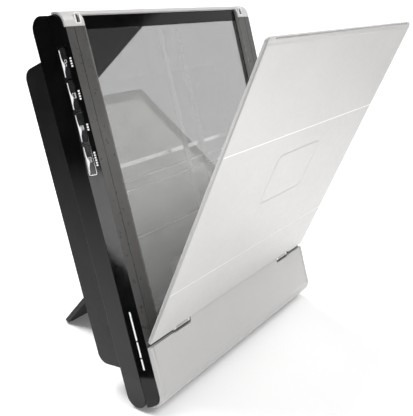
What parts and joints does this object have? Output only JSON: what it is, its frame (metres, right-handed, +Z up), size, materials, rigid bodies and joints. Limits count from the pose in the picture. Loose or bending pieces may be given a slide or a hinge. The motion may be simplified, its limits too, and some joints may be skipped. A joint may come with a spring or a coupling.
{
  "type": "flatbed scanner",
  "caption": "Slim flatbed scanner standing on its hinge end, held by a fold-out leg, with its hinged lid open over the glass and keys along one edge.",
  "frame": {"origin": "middle of the part's footprint, on the surface it stands on", "axes": "+Z up; -Y the way the glass and the open lid face; +X along the hinge, from the key side to the USB side"},
  "size_m": [0.324, 0.3628, 0.4045],
  "materials": {
    "gloss_black": "polished black plastic",
    "satin_black": "fine-textured black plastic",
    "silver": "satin silver paint on plastic",
    "glass": "clear float glass",
    "white": "matt white",
    "foam": "white film over a foam pad",
    "dark_grey": "moulded, dull",
    "steel": "plain bright steel",
    "rubber": "matt rubber",
    "board": "green solder mask",
    "pale_plastic": "natural acetal"
  },
  "bodies": {
    "root": {"bottom_case": "gloss_black", "top_frame": "gloss_black", "key_bezel": "gloss_black", "underside_cover": "satin_black", "end_cap": "silver", "hinge_panel": "silver", "glass_plate": "glass", "calibration_strip": "white", "hinge_guide_left": "dark_grey", "hinge_guide_right": "dark_grey", "shaft_holder_lower": "dark_grey", "shaft_holder_upper": "dark_grey", "stand_pin": "steel", "guide_shaft": "steel", "usb_socket": "steel", "case_screw_1": "steel", "case_screw_2": "steel", "case_screw_3": "steel", "case_screw_4": "steel", "standing_pad_left": "rubber", "standing_pad_right": "rubber", "rubber_foot_1": "rubber", "rubber_foot_2": "rubber", "rubber_foot_3": "rubber", "rubber_foot_4": "rubber", "key_board": "board", "main_board": "board", "drive_rack": "pale_plastic", "ribbon_cable": "pale_plastic"},
    "hinge_slide": {"hinge_arm_left": "silver", "hinge_arm_right": "silver"},
    "lid": {"lid_skin": "silver", "lid_frame": "silver", "document_mat": "foam", "hinge_pin_left": "steel", "hinge_pin_right": "steel"},
    "stand": {"stand_leg": "satin_black", "stand_foot_pad": "rubber"},
    "copy_button": {"copy_key": "satin_black"},
    "scan_button": {"scan_key": "satin_black"},
    "document_button": {"document_key": "satin_black"},
    "mail_button": {"mail_key": "satin_black"},
    "scan_carriage": {"carriage": "dark_grey", "sensor_housing": "satin_black", "rod_lens_strip": "dark_grey", "light_guide": "white", "glass_spacer_left": "pale_plastic", "glass_spacer_right": "pale_plastic", "carriage_motor": "steel"},
    "gear": {"drive_gear": "pale_plastic"},
    "pinion": {"motor_pinion": "pale_plastic"},
    "lock": {"lock_slider": "dark_grey"}
  },
  "joints": [
    {"name": "lid_lift", "type": "slide", "parent": "root", "child": "hinge_slide", "axis": [0, -0.9659, 0.2588], "range_m": [0, 0.012]},
    {"name": "lid_swing", "type": "hinge", "parent": "hinge_slide", "child": "lid", "pos_m": [0, -0.041, 0.07937], "axis": [1, 0, 0], "range_deg": [-39, 51]},
    {"name": "stand_fold", "type": "hinge", "parent": "root", "child": "stand", "pos_m": [0, 0.054, 0.13601], "axis": [1, 0, 0], "range_deg": [0, 122.8]},
    {"name": "copy_press", "type": "slide", "parent": "root", "child": "copy_button", "axis": [0.9545, 0.2881, -0.0772], "range_m": [0, 0.0005], "stiffness_N_per_m": 1500},
    {"name": "scan_press", "type": "slide", "parent": "root", "child": "scan_button", "axis": [0.9545, 0.2881, -0.0772], "range_m": [0, 0.0005], "stiffness_N_per_m": 1500},
    {"name": "document_press", "type": "slide", "parent": "root", "child": "document_button", "axis": [0.9545, 0.2881, -0.0772], "range_m": [0, 0.0005], "stiffness_N_per_m": 1500},
    {"name": "mail_press", "type": "slide", "parent": "root", "child": "mail_button", "axis": [0.9545, 0.2881, -0.0772], "range_m": [0, 0.0005], "stiffness_N_per_m": 1500},
    {"name": "carriage_travel", "type": "slide", "parent": "root", "child": "scan_carriage", "axis": [0, 0.2588, 0.9659], "range_m": [0, 0.295]},
    {"name": "drive_gear_spin", "type": "hinge", "parent": "scan_carriage", "child": "gear", "pos_m": [0.046, -0.00636, 0.08696], "axis": [1, 0, 0], "range_deg": [-2200, 0]},
    {"name": "pinion_spin", "type": "hinge", "parent": "scan_carriage", "child": "pinion", "pos_m": [0.046, -0.00954, 0.07508], "axis": [1, 0, 0], "range_deg": [0, 4400]},
    {"name": "lock_slide", "type": "slide", "parent": "root", "child": "lock", "axis": [1, 0, 0], "range_m": [0, 0.009]}
  ],
  "couplings": [
    {"joint": "drive_gear_spin", "follows": "carriage_travel", "rad_per_m": -125},
    {"joint": "pinion_spin", "follows": "carriage_travel", "rad_per_m": 250}
  ]
}
